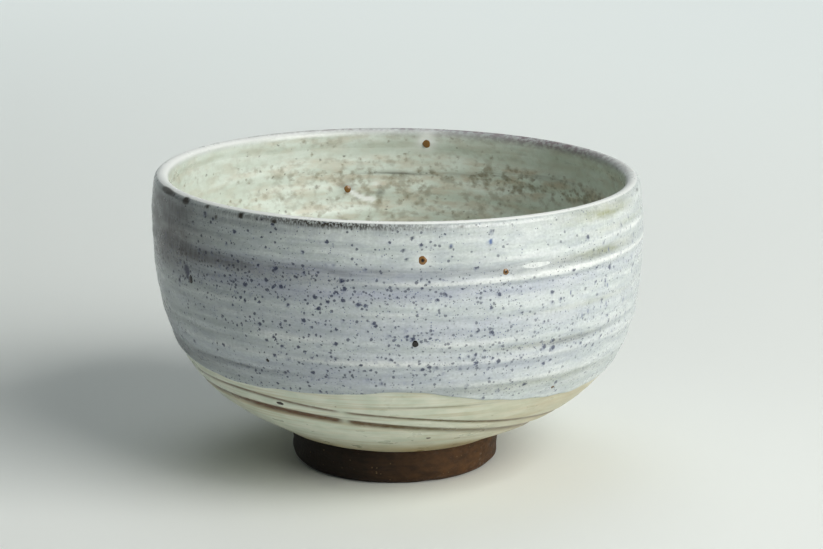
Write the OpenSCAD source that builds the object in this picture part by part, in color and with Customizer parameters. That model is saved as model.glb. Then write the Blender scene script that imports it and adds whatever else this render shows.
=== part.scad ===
// Matcha bowl: a thrown stoneware tea bowl on a low turned foot ring. One coat of glaze lies
// inside and one outside, and a second, speckled coat covers the upper part and laps over the lip.
// Millimetres, +Z up. The origin is the middle of the foot ring's resting face.

/* [Bowl] */
// Height from the resting face to the crest of the lip, coats included
bowl_h = 74.5; // [68:0.5:82]
// Diameter where the wall is widest, coats and ridges included
bowl_d = 123.4; // [114:0.2:132]
// Height at which the wall is widest
belly_h = 61.8; // [56:0.2:64]
// How far the middle of the lip stands in from the widest part of the clay, on each side
turn_in = 1.8; // [1.2:0.1:3.5]
// Thickness of the clay at the lip
lip_t = 2.1; // [1.6:0.1:3]
// Angle at which the wall leaves the foot, in degrees above level
rise = 26; // [20:0.5:32]
// Height of the clay floor inside, above the resting face
floor_h = 15; // [14:0.1:18]
// Diameter of the shallow tea pool turned into the floor
pool_d = 34; // [24:0.5:40]
// Depth of the tea pool
pool_h = 0.8; // [0:0.1:1.2]

/* [Throwing ridges] */
// Height of a ridge that the fingers left in the wall
ridge_h = 0.3; // [0:0.05:0.4]
// Number of ridges up the wall
ridge_n = 9; // [5:1:11]

/* [Foot] */
// Outside diameter of the foot ring where it meets the bowl
foot_d = 52; // [46:0.5:58]
// Height of the foot ring
foot_h = 9; // [7.5:0.5:11]
// Thickness of the ring where it meets the bowl
foot_wall = 7.4; // [6:0.2:9]
// Width of the face that the ring rests on
foot_face = 3.2; // [2:0.2:4]
// Bevel cut round the ring's lower outside edge
foot_bevel = 0.8; // [0.4:0.1:1.2]
// Diameter of the small cone that the turning tool left under the middle
tokin_d = 14; // [8:0.5:18]
// Height of that cone
tokin_h = 1.4; // [0.5:0.1:2]

/* [Coats of glaze] */
// Thickness of the first coat, inside and outside
coat_t = 0.4; // [0.2:0.05:0.6]
// Thickness of the speckled coat
top_t = 0.4; // [0.2:0.05:0.6]
// Height of the speckled coat's lower edge
top_edge_h = 31; // [26:0.5:38]
// How far the speckled coat runs down inside the lip
top_lap = 4; // [2:0.5:8]

/* [Iron spots] */
// How far a melted grain of iron stands above the glaze
spot_h = 0.22; // [0.1:0.02:0.3]
// Size of every grain, as a multiple of its usual size
spot_k = 1; // [0.8:0.05:1.2]

/* [Hidden] */
$fn = 144;

FOOT_R = foot_d / 2;
LIP_R = lip_t / 2;
// Radius of the clay at its widest, before ridges
CLAY_R = bowl_d / 2 - ridge_h - coat_t - top_t;
// Middle of the round lip
LIP = [CLAY_R - turn_in, bowl_h - coat_t - top_t - LIP_R];
// The wall leans in by this angle where the lip begins
LEAN = 8;
LIP_START = LIP + LIP_R * [cos(LEAN), sin(LEAN)];

// Grains of iron on the outside: angle from the front towards +X, height, diameter
SPOTS_OUT = [[5.4, 66, 2], [24, 62.3, 1.5], [3.5, 46, 1.5], [-54, 55, 1.7], [-32, 39, 1],
    [-33, 26.8, 2], [9, 17.6, 1.3], [41, 30.3, 1.1], [98, 58, 1.4], [141, 44, 1.1], [176, 63, 1.5],
    [216, 35, 1.3], [252, 50, 1.1]];
// Grains of iron on the inside, given the same way
SPOTS_IN = [[172, 70.7, 2.1], [194, 58.2, 2], [-62, 47, 1.3]];

// The clay's outline is four stretches: the wall below and above the widest part, the round
// lip, and the inside down to the middle of the floor. The first three of them run upwards and
// over, so the outside of the clay is always on the right of the way they run.
LOW_WALL = [
    [FOOT_R, foot_h],
    [FOOT_R, foot_h] + 0.63 * (CLAY_R - FOOT_R) * [cos(rise), sin(rise)],
    [CLAY_R, belly_h - 0.72 * (belly_h - foot_h)],
    [CLAY_R, belly_h]];
HIGH_WALL = [
    [CLAY_R, belly_h],
    [CLAY_R, belly_h + 0.45 * (LIP_START[1] - belly_h)],
    LIP_START - 0.33 * (LIP_START[1] - belly_h) * [-sin(LEAN), cos(LEAN)],
    LIP_START];
INSIDE = [
    LIP - [LIP_R, 0],
    LIP - [LIP_R, 0.73 * (LIP[1] - floor_h)],
    [0.75 * LIP[0], floor_h],
    [0, floor_h]];

// Point and direction on a Bezier curve of four control points
function bez(p, t) = (1 - t)^3 * p[0] + 3 * (1 - t)^2 * t * p[1]
    + 3 * (1 - t) * t^2 * p[2] + t^3 * p[3];
function bez_way(p, t) =
    let (d = (1 - t)^2 * (p[1] - p[0]) + 2 * (1 - t) * t * (p[2] - p[1]) + t^2 * (p[3] - p[2]))
    d / norm(d);

// Parameter at which a curve that keeps rising, or keeps falling, reaches height z
function t_at(p, z, lo = 0, hi = 1, n = 24) =
    let (mid = (lo + hi) / 2, rising = p[3][1] > p[0][1])
    n == 0 ? mid
    : (bez(p, mid)[1] < z) == rising ? t_at(p, z, mid, hi, n - 1)
    : t_at(p, z, lo, mid, n - 1);

// Ridges are one cosine wave up the wall, faded out towards the foot and the lip
RIDGE_LOW = foot_h + 6;
RIDGE_TOP = bowl_h - 4;
function fade(u) = u <= 0 ? 0 : u >= 1 ? 1 : u^2 * (3 - 2 * u);
function ridge(z) = ridge_h * fade((z - RIDGE_LOW) / 10) * fade((RIDGE_TOP - z) / 5)
    * (1 - cos(360 * ridge_n * (z - RIDGE_LOW) / (RIDGE_TOP - RIDGE_LOW))) / 2;

// The tea pool lowers the floor evenly round the middle, with a soft edge
function pool(r) = -pool_h * (1 - fade((r - pool_d / 2 + 2) / 4));

// A station is a point of the clay and the direction that points straight out of it there
function side(way) = [way[1], -way[0]];
function wall_station(p, t) =
    let (n = side(bez_way(p, t)), q = bez(p, t))
    [q + ridge(q[1]) * n, n];
function inside_station(p, t) =
    let (n = side(bez_way(p, t)), q = bez(p, t))
    [q + ridge(q[1]) / 2 * n + [0, pool(q[0])], n];
function run(p, t0, t1, n) = [for (i = [0:n]) wall_station(p, t0 + (t1 - t0) * i / n)];
function run_in(p, t0, t1, n) = [for (i = [0:n]) inside_station(p, t0 + (t1 - t0) * i / n)];
function lip_run(a0, a1, n) = [for (i = [0:n])
    let (a = a0 + (a1 - a0) * i / n, d = [cos(a), sin(a)]) [LIP + LIP_R * d, d]];

// The layers share these stations, so that each lies face to face on the one beneath it
T_EDGE = t_at(LOW_WALL, top_edge_h);
T_LAP = t_at(INSIDE, LIP[1] - top_lap);
RUN_BARE = run(LOW_WALL, 0, T_EDGE, 18);
RUN_BELLY = run(LOW_WALL, T_EDGE, 1, 36);
RUN_HIGH = run(HIGH_WALL, 0, 1, 14);
RUN_LIP_OUT = lip_run(LEAN, 90, 8);
RUN_LIP_IN = lip_run(90, 180, 8);
RUN_LAP = run_in(INSIDE, 0, T_LAP, 6);
RUN_DEEP = run_in(INSIDE, T_LAP, 1, 56);

OUTER = concat(RUN_BARE, RUN_BELLY, RUN_HIGH, RUN_LIP_OUT);
INNER = concat(RUN_LIP_IN, RUN_LAP, RUN_DEEP);
COVERED = concat(RUN_BELLY, RUN_HIGH, RUN_LIP_OUT, RUN_LIP_IN, RUN_LAP);

// Points of the stations moved straight out by d; the other list runs the opposite way
function out(stations, d) = [for (s = stations) s[0] + d * s[1]];
function back(stations, d) = [for (i = [len(stations) - 1:-1:0]) stations[i][0] + d * stations[i][1]];

// The first coat runs on to the side of the foot ring and ends against it
COAT_FOOT = [FOOT_R, foot_h - coat_t / cos(rise)];

module clay_body() {
    color("#6b5545") rotate_extrude() polygon(concat(
        [[0, foot_h - tokin_h], [tokin_d / 2, foot_h]],
        out(OUTER, 0),
        out(INNER, 0)));
}

// The ring tapers a little from its middle up and down, and its inside slopes outwards
module foot_ring() {
    top_in = FOOT_R - foot_wall;
    rest_out = FOOT_R - 1.4;
    rest_in = rest_out - foot_face;
    color("#3b2a20") rotate_extrude() polygon([
        [rest_in, 0],
        [rest_out, 0],
        [rest_out + foot_bevel, foot_bevel],
        [FOOT_R + 0.2, foot_h / 2],
        [FOOT_R, foot_h - 2 * coat_t],
        [FOOT_R, foot_h],
        [top_in, foot_h],
        [rest_in - foot_bevel, foot_bevel * 1.2]]);
}

module inner_glaze() {
    color("#c4c9b2") rotate_extrude() polygon(concat(out(INNER, coat_t), back(INNER, 0)));
}

module base_glaze() {
    color("#d5d6c0") rotate_extrude() polygon(concat(
        [COAT_FOOT],
        out(OUTER, coat_t),
        back(OUTER, 0)));
}

module top_glaze() {
    color("#c7ccd8") rotate_extrude() polygon(concat(
        out(COVERED, coat_t + top_t),
        back(COVERED, coat_t)));
}

// A grain is a low dome whose flat side lies on the glaze: the cap of a ball, as an outline
GRAIN_STEPS = 6;
module grain(s, angle, d) {
    a = spot_k * d / 2;
    ball_r = (a^2 + spot_h^2) / (2 * spot_h);
    span = asin(a / ball_r);
    cap = [for (i = [GRAIN_STEPS:-1:0]) let (u = span * i / GRAIN_STEPS)
        [ball_r * sin(u), ball_r * cos(u) - ball_r + spot_h]];
    rotate([0, 0, angle - 90]) translate([s[0][0], 0, s[0][1]])
        rotate([0, 90 - atan2(s[1][1], s[1][0]), 0])
            rotate_extrude($fn = 36) polygon(concat([[0, 0]], cap));
}

// A station on the finished surface: coats is the thickness of glaze there
function finished(s, coats) = [s[0] + coats * s[1], s[1]];
function on_wall(z) = let (p = z > belly_h ? HIGH_WALL : LOW_WALL)
    finished(wall_station(p, t_at(p, z)), z > top_edge_h ? coat_t + top_t : coat_t);
function on_inside(z) =
    finished(inside_station(INSIDE, t_at(INSIDE, z)), z > LIP[1] - top_lap ? coat_t + top_t : coat_t);

module iron_spots() {
    color("#4b2f1a") {
        for (s = SPOTS_OUT) grain(on_wall(s[1]), s[0], s[2]);
        for (s = SPOTS_IN) grain(on_inside(s[1]), s[0], s[2]);
    }
}

clay_body();
foot_ring();
inner_glaze();
base_glaze();
top_glaze();
iron_spots();
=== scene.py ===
"""A thrown matcha bowl, finished: the wheel's marks, three coats of glaze, iron grains and bare foot.

The clay and its coats are a profile of the bowl's wall carried round its axis, the foot is a ring
with an outline of its own, and the grains of iron are domes on the glaze. Lengths inside the functions
are millimetres, angles run from the front (-Y) towards +X, and a mesh turns to metres as it is made.
"""

from collections import namedtuple
from types import SimpleNamespace

import bpy
import numpy as np
from mathutils import Euler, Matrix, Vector


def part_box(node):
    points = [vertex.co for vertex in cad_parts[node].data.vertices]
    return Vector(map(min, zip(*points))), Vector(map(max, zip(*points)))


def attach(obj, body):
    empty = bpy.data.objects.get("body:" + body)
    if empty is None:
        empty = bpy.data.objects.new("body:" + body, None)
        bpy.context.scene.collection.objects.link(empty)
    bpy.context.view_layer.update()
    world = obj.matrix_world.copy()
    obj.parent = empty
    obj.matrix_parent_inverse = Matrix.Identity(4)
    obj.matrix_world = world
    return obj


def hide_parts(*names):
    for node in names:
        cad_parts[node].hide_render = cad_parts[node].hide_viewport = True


bl_info = {
    "name": "Matcha Bowl",
    "version": (1, 0, 0),
    "blender": (4, 5, 0),
    "location": "3D View > Sidebar > Matcha Bowl",
    "description": "Builds a glazed tea bowl round its packed frame, with a plain studio",
    "category": "Add Mesh",
}

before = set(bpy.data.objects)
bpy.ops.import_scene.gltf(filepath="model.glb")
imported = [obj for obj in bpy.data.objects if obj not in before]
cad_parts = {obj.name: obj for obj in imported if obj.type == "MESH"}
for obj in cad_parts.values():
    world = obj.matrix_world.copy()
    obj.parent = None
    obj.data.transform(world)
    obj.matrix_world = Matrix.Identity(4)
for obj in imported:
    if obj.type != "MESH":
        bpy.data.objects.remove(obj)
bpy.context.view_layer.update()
MM = 0.001


def span(node):
    """Half width and top of a frame node, in mm."""
    low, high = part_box(node)
    return (high.x - low.x) / 2 / MM, high.z / MM


CLAY_HALF, CLAY_TOP = span("clay_body")
BASE_HALF = span("base_glaze")[0]
COATED_HALF, COATED_TOP = span("top_glaze")
FOOT_HALF, FOOT_TOP = span("foot_ring")


def linear(hex_colour):
    """sRGB hex to linear RGBA."""
    srgb = np.array([int(hex_colour[i:i + 2], 16) for i in (1, 3, 5)]) / 255
    rgb = np.where(srgb <= 0.04045, srgb / 12.92, ((srgb + 0.055) / 1.055) ** 2.4)
    return (*rgb.tolist(), 1.0)


# ---------------------------------------------------------------- fields over the bowl

# Each row: height, half height (mm), angle, half width (degrees), strength. The strengths of
# RIDGES are how far the wall stands out, in mm; the others are shares of a colour or of its specks.
RIDGES = [
    (60.6, 0.75, 40, 62, 0.34), (58.9, 0.8, 45, 70, -0.16), (65.6, 1.0, 62, 45, 0.26),
    (63.3, 1.1, 20, 110, -0.2), (68.2, 1.3, 70, 40, -0.14), (70.6, 1.2, 40, 90, 0.12),
    (65.9, 1.5, -50, 50, 0.12), (53.0, 1.0, -25, 80, 0.14), (55.6, 1.2, -40, 80, -0.12),
    (51.3, 0.7, 10, 60, -0.12), (49.0, 1.6, 20, 100, 0.1), (45.3, 1.1, 10, 110, 0.2),
    (43.0, 0.8, 40, 55, -0.2), (43.4, 0.6, -55, 30, -0.12), (40.6, 1.1, 20, 110, 0.2),
    (38.3, 1.0, 45, 70, -0.14), (36.4, 0.6, -40, 40, -0.2), (34.6, 1.1, 25, 90, 0.18),
    (61.0, 1.1, 190, 75, 0.24), (56.5, 1.4, 160, 70, -0.16), (50.5, 1.2, 215, 80, 0.2),
    (46.5, 1.0, 150, 70, -0.16), (41.2, 1.2, 190, 90, 0.2), (66.5, 1.0, 230, 60, 0.16),
    (37.0, 1.1, 170, 80, -0.16),
]
VIOLET = [
    (62.6, 1.9, -35, 55, 0.95), (57.6, 2.6, -30, 48, 0.85), (49.5, 3.4, 5, 50, 0.55),
    (39.5, 4.5, 6, 52, 0.55), (35.0, 2.2, -30, 40, 0.35), (58.0, 2.0, 30, 40, 0.35),
    (60.0, 3.0, 150, 50, 0.8), (48.0, 4.0, 200, 60, 0.6), (38.0, 3.5, 240, 50, 0.6),
    (66.0, 2.5, 215, 40, 0.4),
]
OLIVE = [
    (63.2, 1.1, 52, 13, 1.0), (72.0, 1.5, 54, 13, 1.0), (68.0, 0.9, 62, 18, 0.4),
    (51.3, 0.7, 48, 20, 0.35), (33.0, 1.4, 35, 22, 0.45), (61.5, 1.0, 30, 14, 0.2),
    (43.2, 0.6, 36, 14, 0.6),
    (64.0, 4.0, -62, 16, 0.3), (64.0, 1.6, 160, 30, 0.5), (70.0, 1.5, 250, 25, 0.5),
]
# Where the milky coat lies thin and the dark clay greys it; the rows on the left, away from the key
# lamp, are partly painted shade
THIN_AND_SHADE = [
    (62.6, 1.2, -45, 50, 0.75), (63.0, 1.0, 26, 54, 0.55), (58.0, 2.6, -50, 35, 0.45),
    (67.5, 2.2, -60, 28, 0.45), (42.9, 0.7, 42, 14, 0.55), (36.3, 0.5, -42, 22, 0.8),
    (43.5, 0.6, -58, 22, 0.45), (59.4, 0.5, 35, 36, 0.3), (33.0, 1.6, 0, 90, 0.22),
    (69.0, 4.0, -66, 19, 0.8), (61.0, 2.5, -64, 20, 0.6),
    (34.5, 1.6, -55, 22, 0.6), (43.0, 0.8, 42, 12, 0.7), (52.0, 8.0, -52, 22, 0.28),
    (61.0, 1.6, 165, 60, 0.5), (45.0, 1.0, 205, 50, 0.4), (37.0, 1.0, 170, 50, 0.4),
]
# Where iron smoke browns the thin coat; on the left, away from the key lamp, the rows are partly
# painted shade
SMOKY_AND_SHADED = [
    (70.0, 3.6, -68, 15, 1.0), (65.0, 3.2, -66, 13, 0.9), (61.3, 1.8, -50, 22, 0.7),
    (58.0, 3.0, -72, 13, 0.8), (71.5, 1.2, -40, 22, 0.35), (34.0, 3.0, -70, 18, 0.7),
    (42.0, 5.0, -80, 10, 0.5), (60.6, 1.0, -20, 16, 0.25), (65.0, 2.0, 225, 30, 0.4),
    (64.0, 9.0, -66, 17, 0.3),
]
# Where the blue speckle is thick
SPECKLED = [
    (61.5, 2.2, -46, 36, 1.0), (58.5, 4.0, -60, 26, 0.9), (57.0, 3.2, -22, 46, 1.0),
    (49.0, 4.8, 4, 48, 0.6), (42.8, 1.1, 38, 16, 1.0), (40.0, 4.5, 10, 44, 0.6),
    (36.2, 1.0, -34, 22, 0.8),
    (59.3, 0.6, 27, 26, 0.8), (70.0, 3.0, -20, 40, 0.25), (46.5, 1.5, 14, 26, 0.35),
    (33.0, 2.0, 10, 60, 0.3), (31.6, 0.7, -42, 26, 0.9), (58.0, 4.0, 170, 60, 0.7),
    (45.0, 6.0, 220, 60, 0.5),
]
# Single blue drops
DROPS = [
    (69.5, 0.62, 20.5, 0.55, 1.3), (69.0, 0.42, 11.5, 0.45, 1.2), (71.0, 0.4, 3.2, 0.3, 0.9),
    (68.3, 0.3, 1.2, 0.5, 1.0), (66.2, 0.28, 1.8, 0.5, 0.9), (33.0, 0.5, 31.0, 0.7, 1.0),
    (60.8, 0.55, -12.0, 0.55, 1.2), (57.0, 1.3, -55.5, 1.1, 1.4),
]
# Blobs of burnt iron on the lip. Here the first number is mm past the crest, and outside is minus
LIP_BLOBS = [
    (-0.9, 0.5, -68, 3.6, 1.3), (-1.0, 0.8, -63, 3.2, 0.45), (-1.15, 0.7, -56.4, 1.5, 1.3),
    (-1.0, 0.4, -47.8, 0.7, 1.0), (-1.3, 0.6, -36.9, 0.8, 1.2), (-1.4, 0.5, -28, 0.7, 1.0),
    (-2.6, 0.7, -44.5, 0.5, 1.0), (-1.2, 0.3, 14, 0.8, 0.7), (-1.3, 0.4, 76, 2.0, 0.7),
]
# Where fine grey specks lie thick
DUSTED = [
    (62.6, 1.4, 45, 32, 1.0), (58.0, 3.2, 40, 34, 0.9), (43.0, 1.0, 38, 14, 1.0),
    (66.0, 6.0, -50, 30, 0.6),
    (33.5, 2.2, 36, 24, 0.9), (48.0, 3.0, 45, 30, 0.4), (60.0, 4.0, -50, 35, 0.5),
    (36.5, 1.0, -40, 24, 0.9), (55.0, 8.0, 180, 70, 0.4),
]
# Iron mottling inside
RUSTY = [
    (62.6, 1.3, 170, 42, 0.95), (58.0, 3.5, 178, 42, 0.5), (61.5, 2.8, 128, 26, 1.0),
    (65.0, 0.8, 142, 24, 0.8),
    (66.0, 1.0, 190, 24, 0.3), (51.0, 4.5, 185, 50, 0.4), (57.0, 5.0, 20, 60, 0.4),
    (40.0, 6.0, 60, 90, 0.35), (30.0, 6.0, 200, 90, 0.3),
]
# White glaze round a grain near the lip, inside and outside
INSIDE_HALO = (71.1, 1.9, 172, 2.3, 1.6)
GRAIN_HALOS = [INSIDE_HALO, (66, 1.7, 5.4, 1.7, 0.5)]
# A pale run inside, from one place (angle, height) to another, and pale blobs above it
PALE_RUN = ((193.0, 57.4), (187.2, 55.2))
PALE_BLOBS = [(59.5, 0.6, 186.0, 1.2, 0.6), INSIDE_HALO]
# Dark patches round the pale run
SCORCHED = [
    (58.4, 1.5, 194.2, 2.0, 0.8), (60.6, 0.8, 193.6, 1.0, 0.4), (57.0, 0.8, 184.9, 1.0, 1.2),
]
# The milky coat's lower edge: angle, half width (degrees), rise (mm)
MILKY_EDGE = 31.6
MILKY_EDGE_WAVES = [
    (2, 13, 2.1), (52, 34, -4.6), (-45, 16, -0.8), (-85, 22, 1.4), (150, 30, 1.6), (205, 24, -1.6),
]
# The two turning grooves ring the lower wall aslant: mean height, slant (mm), the angle at their
# highest, depth and half width (mm)
Groove = namedtuple("Groove", "level slant top depth half")
GROOVES = [Groove(18.6, 6.6, -62, 0.5, 0.66), Groove(22.2, 6.6, -64, 0.2, 0.32)]
# Faint broken lines of iron in the cream coat
FAINT_LINES = [(28.4, 0.28, 8, 15, 0.45), (24.8, 0.25, -20, 12, 0.3), (26.0, 0.3, 150, 40, 0.4)]
# Grains of iron outside: angle, height, size (mm), how brown they are, height over width
GRAINS_OUT = [
    (5.4, 66, 2.0, 1.0, 1.08), (24, 62.3, 1.5, 0.8, 1.08), (3.5, 46, 1.5, 0.0, 1.2),
    (-54, 55, 1.7, 0.0, 1.3), (-32, 39, 0.95, 0.0, 1.1), (-33, 26.8, 2.2, 0.1, 0.55),
    (9, 17.6, 1.3, 0.35, 0.7), (41, 30.3, 1.1, 0.6, 0.8), (98, 58, 1.4, 0.9, 1.0),
    (141, 44, 1.1, 0.0, 1.1), (176, 63, 1.5, 1.0, 1.0), (216, 35, 1.3, 0.3, 0.9),
    (252, 50, 1.1, 0.0, 1.1),
]
# The same for the inside
GRAINS_IN = [
    (172, 70.7, 2.1, 1.0, 1.08), (194, 58.2, 2.0, 0.9, 1.08), (-62, 47, 1.3, 0.5, 1.0),
]
# Height of a grain's dome, and how far the grain is sunk in the glaze, in mm
GRAIN_DOME, GRAIN_SINK = 0.16, 0.03
# A grain inside the bowl lies on the milky coat if it is above this height, in mm
MILKY_INSIDE = 70
# The bowl's own unevenness: half the share by which the plan is narrower one way, and how far the
# rim and the lower wall lie to the right, in mm
OVAL = 0.0018
RIM_SWAY, WALL_SWAY = -0.33, 0.45
# Deepest hollow and highest ridge of the outside wall, in mm, before the two grooves
HOLLOW_LIMIT, RIDGE_LIMIT = -0.5, 0.32
# The tool's spiral under the bowl: half its depth, and the width of a turn, in mm
SPIRAL_DEPTH, SPIRAL_PITCH = 0.12, 2.4
# The burnt line starts this far down the outside from the lip's crest, in mm
BURNT_FROM = 0.75


def ease(x, low, high):
    """0 below low, 1 above high, a smooth S between."""
    u = np.clip((x - low) / (high - low), 0, 1)
    return u * u * (3 - 2 * u)


def near(angle, centre, half_width):
    """A bump of 1 at centre that falls as a bell and joins up round the circle; degrees."""
    tightness = 2 * np.degrees(1) ** 2 / half_width ** 2
    return np.exp((np.cos(np.radians(angle - centre)) - 1) * tightness)


def patches(angle, height, rows):
    """Sum over rows of strength times a bell in height times a bell in angle."""
    total = np.zeros(np.broadcast(angle, height).shape)
    for level, tall, centre, wide, strength in rows:
        total += strength * np.exp(-((height - level) / tall) ** 2) * near(angle, centre, wide)
    return total


def covered(angle, height, rows, least=0.0):
    """The rows' patches on top of least, as a share from 0 to 1."""
    return np.clip(least + patches(angle, height, rows), 0, 1)


def ripple(angle, height, seed, turns, pitch):
    """Sum of twelve cosines in angle and height, with seeded phases, between about -1 and 1.

    turns is the largest number of waves round the bowl, and pitch the shortest wave up it, in mm.
    """
    draw = np.random.default_rng(seed)
    total = np.zeros(np.broadcast(angle, height).shape)
    for _ in range(12):
        around = draw.integers(1, turns + 1)
        upward = draw.uniform(-1, 1) * 2 * np.pi / pitch
        total += np.cos(around * np.radians(angle) + upward * height + draw.uniform(0, 2 * np.pi))
    return total / 3.5


def wheel_lines(angle, height, seed):
    """Level lines left by the fingers: cosines of height, with lengths of 2.2 to 6 mm, whose
    strength and level wander slowly round the bowl."""
    draw = np.random.default_rng(seed)
    total = np.zeros(np.broadcast(angle, height).shape)
    for i in range(9):
        wave = 2.2 * (6 / 2.2) ** (i / 8)
        phase = draw.uniform(0, 2 * np.pi) + 2.0 * ripple(angle, 0.0, seed + 20 + i, 3, 1.0)
        strength = 0.5 + 0.5 * ripple(angle, height, seed + 40 + i, 4, 12.0)
        total += strength * np.cos(2 * np.pi * height / wave + phase) * wave
    return total / 9


def outside_marks(angle, height, rise):
    """How far the outside wall stands out, in mm: RIDGES, wheel lines and the two grooves."""
    level = height + 0.35 * ripple(angle, height, 3, 3, 40.0)
    marks = patches(angle, level, RIDGES) * (1 - 0.5 * near(angle, -95, 35))
    marks += 0.04 * wheel_lines(angle, height, 5) + 0.04 * ripple(angle, height, 9, 9, 9.0)
    marks = rise * np.clip(marks, HOLLOW_LIMIT, RIDGE_LIMIT) * ease(height, 26, 34)
    marks *= ease(-height, -72.5, -69)
    lower = (1 - ease(height, 26, 34)) * ease(height, 9.5, 12)
    marks += lower * rise * 0.03 * wheel_lines(angle, height, 11)
    for i in range(len(GROOVES)):
        marks -= GROOVES[i].depth * groove(angle, height, i)
    return marks


def groove_height(angle, i):
    """Height of a turning groove: its level plus its slant times a cosine, with a little wander."""
    mark = GROOVES[i]
    aslant = mark.level + mark.slant * np.cos(np.radians(angle - mark.top))
    return aslant + 0.2 * ripple(angle, 0.0, 60 + i, 9, 1.0)


def groove(angle, height, i):
    """1 along the middle of a turning groove, falling to 0 beside it. It comes and goes, and it is
    wider on the left and on the right of the front."""
    half = GROOVES[i].half * (1 + 0.25 * near(angle, -35, 30) + 0.3 * near(angle, 32, 28))
    strength = np.clip(0.85 + 0.4 * ripple(angle, 0.0, 70 + i, 7, 1.0), 0.6, 1)
    return strength * np.exp(-(np.abs(height - groove_height(angle, i)) / half) ** 2.5)


def inside_marks(angle, height):
    """How far the inside wall stands in, in mm: broad finger waves and wheel lines."""
    waves = 0.16 * np.cos(2 * np.pi * height / 6.3 + 1.2 * ripple(angle, 0.0, 80, 2, 1.0))
    waves += 0.06 * wheel_lines(angle, height, 85) + 0.08 * ripple(angle, height, 88, 7, 14.0)
    return waves * ease(height, 16, 26) * ease(-height, -72, -66)


# ---------------------------------------------------------------- the wall's profile

# along is the length from the foot's joint, in mm. crest and floor are its values at the top of
# the lip and in the middle of the floor
Profile = namedtuple("Profile", "along r z out_r out_z crest floor")


def bezier(points, steps):
    """Points and unit directions of a cubic Bezier curve."""
    p = np.array(points, float)
    t = np.linspace(0, 1, steps)[:, None]
    place = ((1 - t) ** 3 * p[0] + 3 * (1 - t) ** 2 * t * p[1]
             + 3 * (1 - t) * t ** 2 * p[2] + t ** 3 * p[3])
    way = (1 - t) ** 2 * (p[1] - p[0]) + 2 * (1 - t) * t * (p[2] - p[1]) + t ** 2 * (p[3] - p[2])
    return place, way / np.linalg.norm(way, axis=1)[:, None]


def clay_profile(sizes):
    """The clay's outline from the foot's joint up the outside, over the round lip and down the
    inside to the middle of the floor: two Bezier curves, half a circle and a Bezier curve, with the
    direction straight out of the clay at each point. The curves' handles are shares of each
    stretch's width or height."""
    wall_r = sizes.wall_half - sizes.ridge_room
    lip_r = sizes.lip_thickness / 2
    foot = np.array([sizes.foot_half, sizes.foot_top])
    lip = np.array([wall_r - sizes.turn_in, sizes.clay_top - lip_r])
    lean, leave = sizes.lean, sizes.leave
    belly = sizes.belly
    lip_start = lip + lip_r * np.array([np.cos(lean), np.sin(lean)])
    rise = lip_start[1] - belly
    stretches = [
        bezier([foot, foot + 0.63 * (wall_r - foot[0]) * np.array([np.cos(leave), np.sin(leave)]),
                [wall_r, belly - 0.72 * (belly - foot[1])], [wall_r, belly]], 700),
        bezier([[wall_r, belly], [wall_r, belly + 0.45 * rise],
                lip_start - 0.33 * rise * np.array([-np.sin(lean), np.cos(lean)]), lip_start], 200),
    ]
    turn = np.linspace(lean, np.pi, 200)
    ring = np.stack([np.cos(turn), np.sin(turn)], 1)
    stretches.append((lip + lip_r * ring, np.stack([-ring[:, 1], ring[:, 0]], 1)))
    stretches.append(bezier([lip - [lip_r, 0], lip - [lip_r, 0.73 * (lip[1] - sizes.floor)],
                             [0.75 * lip[0], sizes.floor], [0, sizes.floor]], 900))
    place = np.concatenate([p for p, _ in stretches])
    way = np.concatenate([w for _, w in stretches])
    step = np.linalg.norm(np.diff(place, axis=0), axis=1)
    keep = np.concatenate([[True], step > 1e-9])
    place, way = place[keep], way[keep]
    along = np.concatenate([[0], np.cumsum(np.linalg.norm(np.diff(place, axis=0), axis=1))])
    crest = along[place[:, 1].argmax()]
    return Profile(along, place[:, 0], place[:, 1], way[:, 1], -way[:, 0], crest, along[-1])


def on_profile(profile, along):
    """Radius, height and outward direction of the profile at these lengths along it."""
    return [np.interp(along, profile.along, row) for row in
            (profile.r, profile.z, profile.out_r, profile.out_z)]


def along_at(profile, height, inside=False):
    """Length along the profile at which the outside or the inside passes these heights."""
    part = profile.along >= profile.crest if inside else profile.along <= profile.crest
    z, along = profile.z[part], profile.along[part]
    return np.interp(-height, -z, along) if inside else np.interp(height, z, along)


def settle(sizes, angle, r, z):
    """Points in mm from cylinder places, with the bowl's own unevenness: the rim dips to the right,
    the belly sways a little, the foot sits a little left, and the plan is very slightly oval."""
    t = np.radians(angle)
    share = ease(z, 16, 66)
    oval = 1 - OVAL * share * (1 - np.cos(2 * (t - 0.9)))
    sway = RIM_SWAY * ease(z, 45, 74) + WALL_SWAY * (1 - ease(z, 30, 55)) * ease(z, 10, 16)
    x = r * oval * np.sin(t) + sway - sizes.foot_shift * (1 - ease(z, 9, 13))
    y = -r * oval * np.cos(t)
    dip = sizes.rim_dip * share * (1 + np.sin(t)) * r / sizes.wall_half
    return np.stack([x, y, z - dip], -1)


def wall_points(sizes, profile, angle, along, lift):
    """Points in mm at these angles and lengths along the wall, lift mm off the clay. The wall's own
    marks move it along its outward direction."""
    r, z, out_r, out_z = on_profile(profile, along)
    inside = along > profile.crest
    marks = np.where(inside, inside_marks(angle, z), outside_marks(angle, z, sizes.ridge_rise))
    pool = -sizes.pool_depth * (1 - ease(r, sizes.pool_half - 2, sizes.pool_half + 2))
    reach = lift + marks
    return settle(sizes, angle, r + reach * out_r, z + reach * out_z + np.where(inside, pool, 0))


def across(rows, angles):
    """One value per row, repeated at every angle: a grid of rows by angles."""
    return rows[:, None] + 0 * angles[None, :]


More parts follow.
